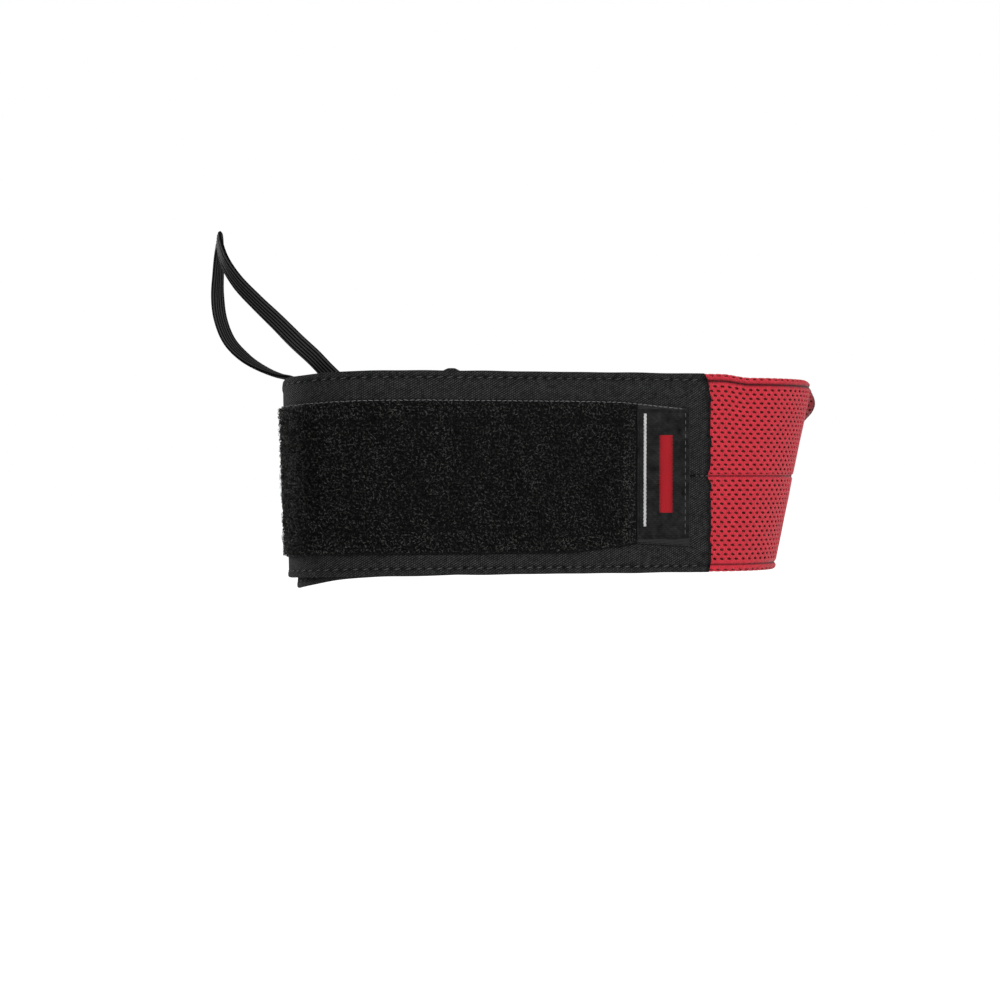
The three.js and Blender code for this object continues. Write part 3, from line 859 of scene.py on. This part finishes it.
satin = yarn_cloth(
    "black_satin", dark=(0.0045, 0.0045, 0.0045), light=(0.0130, 0.0130, 0.0134),
    pitch=0.62, slant=0.0, float_length=1.9, relief=0.02 * MM, roughness=0.6,
    unevenness=2.2, gloss=0.05, crisp=0.6, patch=3.2 * MM,
)
label_bottom, label_top = LABEL_MIDDLE - LABEL_HEIGHT / 2, LABEL_MIDDLE + LABEL_HEIGHT / 2
label_section = ply_section(label_bottom, label_top, LABEL_OUT, LABEL_FACE, 0.6 * MM, 6 * MM)
label_mesh = swept(label_section, LABEL_START, LABEL_END, 30)
label = lay_down("label_weave", label_mesh, shape_label, satin)
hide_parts("label")


def satin_bar(bar):
    """Rows for a bar in satin stitch: long stitches along the strap, packed side by side down the bar."""
    middle = LABEL_START + bar["from"] + bar["wide"] / 2
    heights = np.arange(-bar["tall"] / 2, bar["tall"] / 2, bar["step"])
    size = (bar["wide"], 1.35 * bar["step"], 0.34 * MM)
    rows = []
    for i, height in enumerate(heights):
        along = middle + 0.08 * MM * math.sin(7.7 * i)
        across = LABEL_MIDDLE + bar["lifted"] + height
        rows.append((along, across, LABEL_FACE + 0.1 * MM, 0.0, 0.0, *size))
    return rows


def box_sides(near, far, low, high):
    """The sides of a sewn box as pairs of flat places: the lower, upper, near and far one."""
    sides = ((near, far, low, low), (near, far, high, high), (near, near, low, high), (far, far, low, high))
    return [((u0, v0), (u1, v1)) for u0, u1, v0, v1 in sides]


red_thread = thread("red_thread", (0.42, 0.012, 0.020), 0.5)
white_thread = thread("white_thread", (0.62, 0.62, 0.62), 0.55)
bar = sew("label_bar", satin_bar(BAR), wind, red_thread)
stripe = sew("label_stripe", satin_bar(STRIPE), wind, white_thread)
label_stitch = {"step": 2.2 * MM, "out": LABEL_FACE - 0.02 * MM, "wide": 0.3, "high": 0.25}
low, high = label_bottom + LABEL_SEAM, label_top - LABEL_SEAM
outer_rows = stitch_line((LABEL_END - OUTER_SEAM, low), (LABEL_END - OUTER_SEAM, high), **label_stitch)
inner_rows = []
for start, end in box_sides(LABEL_START + LABEL_SEAM, LABEL_END - LABEL_SEAM, low, high)[:3]:
    inner_rows += stitch_line(start, end, **label_stitch)
outer_thread = sew("label_outer_stitches", outer_rows, wind, dark_thread)
inner_thread = sew("label_stitches", inner_rows, wind, border_thread)


# Pull tab: a sleeve of red net over a thin pad of darker cloth, with a rolled hem along each edge
# and one line of stitches down its middle. Its root is sewn under the end of the strap.

TAB_LENGTH = 50 * MM
TAB_ROOT = -2.6 * MM
TAB_HEM = {"width": 2.4 * MM, "radius": 1.12 * MM}
TAB_SEWN = STRAP_HALF - TAB_HEM["width"]
TAB_GROOVE = {"depth": 0.7 * MM, "half_width": 0.6 * MM}
NET_THICK = 0.55 * MM
END_GAP = 0.3 * MM
DIP = {"starts": 4 * MM, "ends": 14 * MM, "depth": 1.1 * MM}
BEND = {"starts": 11.1 * MM, "leans_by": 0.21, "length": 41.9 * MM, "ease": 1.12, "turn": math.radians(92)}
BEND_CORNER = {"from": 27.7 * MM, "pull": 0.14}
FLARE = {
    "starts": 44 * MM, "length": 3.4 * MM, "turn": math.radians(52.5),
    "across": 23 * MM, "half_height": 7.4 * MM,
}


def tab_heading(along, across):
    """The way the tab points at a place on it, as an angle from +X."""
    pulled = math.atan2(skin_heading[-1, 1], skin_heading[-1, 0])
    corner = BEND_CORNER["pull"] * np.maximum(across - BEND_CORNER["from"], 0) ** 2 / MM
    starts = BEND["starts"] + BEND["leans_by"] * across - corner
    left = np.clip(1 - (along - starts) / BEND["length"], 0, 1)
    bend = BEND["turn"] * (1 - left ** BEND["ease"])
    near_flare = 1 - smoothstep(np.abs(across - FLARE["across"]), 0, FLARE["half_height"])
    flare = FLARE["turn"] * near_flare * smoothstep(along, FLARE["starts"], FLARE["starts"] + FLARE["length"])
    return pulled + bend - flare


def bend_tab(flat):
    """Where points of the flat tab come to lie, found by walking out along it from the strap's end."""
    along, across, out = np.asarray(flat, float).T
    root = wind(np.stack([np.full_like(along, STRAP_LENGTH + END_GAP), across, 0 * along], 1))
    walk_steps = 60
    stride = along / walk_steps
    for i in range(walk_steps):
        heading = tab_heading((i + 0.5) * stride, across)
        root[:, 0] += stride * np.cos(heading)
        root[:, 1] += stride * np.sin(heading)
    heading = tab_heading(along, across)
    dip = DIP["depth"] * smoothstep(along, DIP["starts"], DIP["ends"]) * smoothstep(across, 0, STRAP_HALF)
    return np.stack([root[:, 0] + out * np.sin(heading), root[:, 1] - out * np.cos(heading), across - dip], 1)


def tab_outline():
    """The sleeve's section, as across and out at even steps round it from the middle of its back."""
    radius, face = TAB_HEM["radius"], TAB_FACE
    rolled = STRAP_HALF - radius
    half, low = TAB_GROOVE["half_width"], TAB_FACE - TAB_GROOVE["depth"]
    arc = np.radians(np.arange(-90, 136, 15))
    upper = [(rolled + radius * math.cos(a), radius + radius * math.sin(a)) for a in arc]
    near, rise = 0.35 * half, low + 0.1 * MM
    groove = [(half, face), (near, rise), (0.0, low), (-near, rise), (-half, face)]
    lower = [(-across, out) for across, out in upper]
    front = [(-TAB_SEWN, low), (-TAB_SEWN + half, face)]
    front += [(TAB_SEAM - dx, out) for dx, out in groove]
    front += [(TAB_SEWN - half, face), (TAB_SEWN, low)]
    rough = np.array([(0.0, 0.0)] + lower + front + upper[::-1] + [(0.0, 0.0)])
    length = length_along(rough)
    even = np.linspace(0, length[-1], 1200)
    line = np.stack(read_off(even, length, rough), 1)
    for _ in range(8):
        line[1:-1] = (line[:-2] + 2 * line[1:-1] + line[2:]) / 4
    return even, line


tab_round, tab_line = tab_outline()
tab_way = np.gradient(tab_line, tab_round, axis=0)
tab_way /= np.linalg.norm(tab_way, axis=1)[:, None]
TAB_GIRTH = float(tab_round[-1])


def sleeve(flat):
    """Folds a flat net round the tab's section, pinches it at the sewn end, and bends it with the tab."""
    along, around, out = flat.T
    around = np.clip(around, 0, TAB_GIRTH)
    across, height = read_off(around, tab_round, tab_line)
    way = read_off(around, tab_round, tab_way)
    across, height = across - way[1] * out, height + way[0] * out
    pinched = 1 - 0.35 * smoothstep(along, TAB_LENGTH - 2 * MM, TAB_LENGTH - 0.6 * MM)
    height = TAB_FACE / 2 + (height - TAB_FACE / 2) * pinched
    on_face = smoothstep(height, 0.5 * MM, 1.5 * MM)
    puckers = 0.22 * MM * np.exp(-np.maximum(along, 0) / (5 * MM)) * ripple(across, along * 0.3, 3.2 * MM)
    uneven = 0.06 * MM * ripple(along, across, 8 * MM) + puckers * smoothstep(along, 0, 1 * MM)
    height = height + on_face * uneven
    return bend_tab(np.stack([along, across, height], 1))


def round_to(across):
    """How far round the sleeve a place across its face lies, in millimetres."""
    on_face = tab_line[:, 1] > 0.6 * TAB_FACE
    return float(tab_round[np.argmin(np.where(on_face, np.abs(tab_line[:, 0] - across), 1.0))] / MM)


# Painted shade in the net's colour: dark lines along the sunk hem seams and the middle seam, and a darker
# band towards the tab's end, where it turns away from the light.
tab_cloth = yarn_cloth(
    "tab_net", dark=(0.10, 0.004, 0.007), light=(0.68, 0.034, 0.056),
    pitch=0.36, slant=0.55, float_length=0.7, relief=0.12 * MM, roughness=0.9,
    sheen=0.19, gloss=0.06, crisp=0.5, unevenness=0.4, patch=1.2 * MM,
    painted_seam_shades=(
        {"Place": round_to(-TAB_SEWN), "Width": 0.5, "Step": 2.4, "Needle": 0.25, "Depth": 0.95},
        {"Place": round_to(TAB_SEAM), "Width": 0.45, "Step": 2.4, "Needle": 0.25, "Depth": 0.95},
        {"Place": round_to(TAB_SEWN), "Width": 0.85, "Step": 2.4, "Needle": 0.1, "Depth": 1.0},
        {"Depth": 0.7, "From": TAB_LENGTH / MM - 8.0, "Ease": 7.0, **WHOLE_CLOTH_SHADE},
    ),
)
tab_lines = [round_to(across) * MM for across in (-TAB_SEWN, TAB_SEAM, TAB_SEWN)]
tab_mesh = punched_net(TAB_ROOT, TAB_LENGTH, 0.0, TAB_GIRTH, NET_THICK, cuts=1, sewn_shut=tab_lines)
tab_high = max(v.co.z for v in tab_mesh.vertices)
tab_mesh.transform(Matrix.Translation((0.0, 0.0, -tab_high)))
tab = lay_down("tab_net", tab_mesh, sleeve, tab_cloth)
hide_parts("pull_tab")

PAD_HALF = STRAP_HALF - 2.6 * MM
PAD_GAP = 0.1 * MM
PAD_BACK, PAD_FACE = NET_THICK + PAD_GAP, TAB_FACE - NET_THICK - PAD_GAP
pad_cloth = yarn_cloth(
    "tab_pad", dark=(0.060, 0.013, 0.009), light=(0.20, 0.036, 0.025),
    pitch=0.5, slant=0.2, float_length=0.8, relief=0.1 * MM, roughness=0.95,
)
pad_section = ply_section(-PAD_HALF, PAD_HALF, PAD_BACK, PAD_FACE, 1.6 * MM, 3 * MM)
pad_mesh = swept(pad_section, TAB_ROOT + 0.5 * MM, TAB_LENGTH - 1.2 * MM, 54)
pad = lay_down("tab_pad", pad_mesh, bend_tab, pad_cloth)

tab_thread = thread("dark_red_thread", (0.07, 0.008, 0.010), 0.6)
SUNK_OUT = TAB_FACE - TAB_GROOVE["depth"] + 0.05 * MM
tab_rows = []
for across in (-TAB_SEWN, TAB_SEAM, TAB_SEWN):
    tab_rows += stitch_line(
        (1.5 * MM, across), (TAB_LENGTH - 2 * MM, across), 2.4 * MM, SUNK_OUT, wide=0.34, high=0.25
    )
OVERLOCK_INSET = 0.6 * MM
overlock = {"step": 1.1 * MM, "share": 0.95, "slant": 0.9, "wide": 0.34}
end, half = TAB_LENGTH - OVERLOCK_INSET, STRAP_HALF - OVERLOCK_INSET
for out in (0.35 * MM, 1.55 * MM):
    tab_rows += stitch_line((end, -half), (end, half), out=out, **overlock)
tab_stitches = sew("tab_stitches", tab_rows, bend_tab, tab_thread)


# Hook patch: a black tape with rows of small nylon hooks, sewn to the back of the tab near its
# root. It grips the pile once the strap is wound up.

HOOK_TAPE = {"from": 1.5 * MM, "to": 16.5 * MM, "height": 46 * MM, "thick": 0.5 * MM}
HOOK_TAPE_OUT = -PLY_GAP - HOOK_TAPE["thick"]
HOOK_HALF = HOOK_TAPE["height"] / 2
HOOK_STEP = {"along": 1.25 * MM, "across": 1.5 * MM}
HOOK_SIZE = 0.8 * MM
HOOK_YARN = 0.17
HOOK_CURL = {
    "radius": 0.5, "sides": 4, "turn": math.radians(215), "steps": 6, "from_x": math.pi, "capped": True,
}
HOOK_SEAM = 0.8 * MM
hook_cloth = yarn_cloth(
    "hook_tape", dark=(0.008, 0.008, 0.008), light=(0.028, 0.028, 0.029),
    pitch=0.45, slant=0.0, float_length=0.9, relief=0.08 * MM, roughness=0.7,
)
hook_section = ply_section(-HOOK_HALF, HOOK_HALF, HOOK_TAPE_OUT, -PLY_GAP, 3 * MM, 1.5 * MM)
hook_tape_mesh = swept(hook_section, HOOK_TAPE["from"], HOOK_TAPE["to"], 16)
hook_tape = lay_down("hook_tape", hook_tape_mesh, bend_tab, hook_cloth)
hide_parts("hook_patch")

hooks = []
for row, across in enumerate(np.arange(-HOOK_HALF + 1.5 * MM, HOOK_HALF - 1.2 * MM, HOOK_STEP["across"])):
    odd = row % 2
    for along in np.arange(HOOK_TAPE["from"] + 1.6 * MM, HOOK_TAPE["to"] - 1.6 * MM, HOOK_STEP["along"]):
        place = (along + odd * 0.5 * HOOK_STEP["along"], across, HOOK_TAPE_OUT - 0.1 * MM)
        facing = odd * math.pi + 0.2 * math.sin(9.1 * along / MM + row)
        hooks.append((*place, math.pi / 2, facing, HOOK_SIZE, HOOK_SIZE, HOOK_SIZE))
hook_nylon = yarn_cloth(
    "hook_nylon", dark=(0.010, 0.010, 0.010), light=(0.022, 0.022, 0.022),
    pitch=0.6, slant=0.3, float_length=1.0, relief=0.02 * MM, roughness=0.35,
)
hook_mesh = many(curl(HOOK_YARN, **HOOK_CURL), hooks)
hook_field = lay_down("hooks", hook_mesh, bend_tab, hook_nylon)
low, high = HOOK_SEAM - HOOK_HALF, HOOK_HALF - HOOK_SEAM
hook_rows = []
for start, end in box_sides(HOOK_TAPE["from"] + HOOK_SEAM, HOOK_TAPE["to"] - HOOK_SEAM, low, high):
    hook_rows += stitch_line(start, end, 2.2 * MM, HOOK_TAPE_OUT, wide=0.34, high=0.25)
hook_thread = sew("hook_stitches", hook_rows, bend_tab, dark_thread)


# Thumb loop: a flat black elastic of six rubber ribs in a braided cover. Both ends are sewn flat
# against the lining inside the strap, and the free stretch stands up from it in a loop.

ELASTIC = {"width": 5.8 * MM, "thick": 1.7 * MM, "sewn_gap": 0.55 * MM, "ribs": 6, "rib_depth": 0.4 * MM}
# The free stretch, from the front of the strap to its left side.
THUMB_ROUTE = np.array([
    # x, y, z
    (-24.8, -16.4, 36.1),
    (-30.2, -17.0, 41.1),
    (-36.4, -16.6, 47.3),
    (-43.0, -14.8, 53.6),
    (-49.3, -11.8, 60.1),
    (-53.8, -7.6, 66.6),
    (-56.0, -2.8, 71.8),
    (-57.2, 2.4, 75.0),
    (-57.8, 7.6, 75.2),
    (-58.6, 12.8, 72.2),
    (-59.4, 17.0, 66.2),
    (-60.0, 19.8, 58.9),
    (-59.2, 20.4, 51.3),
    (-56.1, 18.6, 43.8),
    (-50.6, 15.4, 38.0),
    (-44.6, 11.6, 34.2),
    (-38.4, 8.0, 31.6),
    (-33.4, 5.4, 30.4),
    (-29.6, 4.2, 29.2),
]) * MM
# The sewn ends, in degrees round the first turn and their height.
FRONT_LEG = ((255, 19.5), (242.4, 25.2), (228, 31.2))
SIDE_LEG = ((173, 26.0), (174, 20.5), (175, 14.5))
# The way the outer flat side faces, at shares of the length.
THUMB_FACING = np.array([
    # share, x, y, z
    (0.0, -0.2, -0.98, 0.0),
    (0.11, -0.5, -0.86, 0.0),
    (0.20, -0.5, -0.86, 0.0),
    (0.27, -0.72, -0.69, 0.0),
    (0.34, -0.82, -0.57, 0.0),
    (0.41, -0.94, -0.33, 0.05),
    (0.46, -0.98, 0.0, 0.15),
    (0.52, -0.95, 0.25, 0.2),
    (0.64, -0.75, 0.6, 0.25),
    (0.75, -0.55, 0.6, -0.58),
    (0.81, -0.2, 0.2, -0.96),
    (0.86, -0.3, 0.1, -0.95),
    (0.91, -0.96, 0.26, -0.1),
    (1.0, -0.96, 0.26, 0.0),
])


def sewn_point(deg, z):
    """The middle of the elastic where it is sewn inside the first turn."""
    along = length_to(deg - 360)
    level = wind([(along, 0, 0)])[0, 2]
    return wind([(along, z * MM - level, -ELASTIC["sewn_gap"] - ELASTIC["thick"] / 2)])[0]


def smooth_route(points, steps=24):
    """A smooth line through points, drawn so that it neither loops nor overshoots where they lie close."""
    points = np.concatenate([[2 * points[0] - points[1]], points, [2 * points[-1] - points[-2]]])
    t = np.linspace(0, 1, steps, endpoint=False)[:, None]
    line = []
    for p0, p1, p2, p3 in zip(points, points[1:], points[2:], points[3:]):
        d0, d1, d2 = (math.sqrt(np.linalg.norm(b - a)) for a, b in ((p0, p1), (p1, p2), (p2, p3)))
        leave = d1 * ((p1 - p0) / d0 - (p2 - p0) / (d0 + d1) + (p2 - p1) / d1)
        arrive = d1 * ((p2 - p1) / d1 - (p3 - p1) / (d1 + d2) + (p3 - p2) / d2)
        square = 3 * (p2 - p1) - 2 * leave - arrive
        cube = 2 * (p1 - p2) + leave + arrive
        line.append(p1 + leave * t + square * t ** 2 + cube * t ** 3)
    return np.concatenate(line + [points[-2:-1]])


front_end, side_end = ([sewn_point(*row) for row in leg] for leg in (FRONT_LEG, SIDE_LEG))
thumb_line = smooth_route(np.array([*front_end, *THUMB_ROUTE, *side_end]))
thumb_length = length_along(thumb_line)
thumb_way = np.gradient(thumb_line, thumb_length, axis=0)
ELASTIC_LENGTH = float(thumb_length[-1])


def lay_elastic(flat):
    """Where points of the flat elastic come to lie along its route."""
    along, across, out = flat.T
    along = np.clip(along, 0, ELASTIC_LENGTH)
    foot = np.stack(read_off(along, thumb_length, thumb_line), 1)
    heading = np.stack(read_off(along, thumb_length, thumb_way), 1)
    heading /= np.linalg.norm(heading, axis=1)[:, None]
    facing = np.stack(read_off(along / ELASTIC_LENGTH, THUMB_FACING[:, 0], THUMB_FACING[:, 1:]), 1)
    facing -= heading * (facing * heading).sum(1)[:, None]
    facing /= np.linalg.norm(facing, axis=1)[:, None]
    side = np.cross(heading, facing)
    return foot - side * across[:, None] + facing * out[:, None]


def ribbed_section(points=60):
    """A flat band's section with round ribs side by side."""
    half, flat_half = ELASTIC["width"] / 2, ELASTIC["thick"] / 2
    line = []
    for a in np.linspace(0, 2 * math.pi, points, endpoint=False):
        across = half * math.copysign(abs(math.cos(a)) ** 0.75, math.cos(a))
        crest = abs(math.sin(math.pi * ELASTIC["ribs"] * (across / half + 1) / 2))
        edge = (1 - abs(across / half) ** 4) ** 0.5
        height = (flat_half - ELASTIC["rib_depth"] * (1 - crest)) * edge
        line.append((across, math.copysign(height, math.sin(a))))
    return line


# Painted highlight: the pale tone lies only in thin lines on the rib crests, standing for the highlights
# along them; the rest is near black.
braid_with_painted_crests = yarn_cloth(
    "elastic_braid_painted_crests", dark=(0.002, 0.002, 0.002), light=(0.042, 0.042, 0.043),
    pitch=ELASTIC["width"] / ELASTIC["ribs"] / MM, slant=0.0, float_length=None,
    relief=0.04 * MM, roughness=0.7, gloss=0.03, crisp=4.0,
)
elastic_mesh = swept(ribbed_section(), 0.0, ELASTIC_LENGTH, 200)
elastic = lay_down("elastic_loop", elastic_mesh, lay_elastic, braid_with_painted_crests)
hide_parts("thumb_loop")
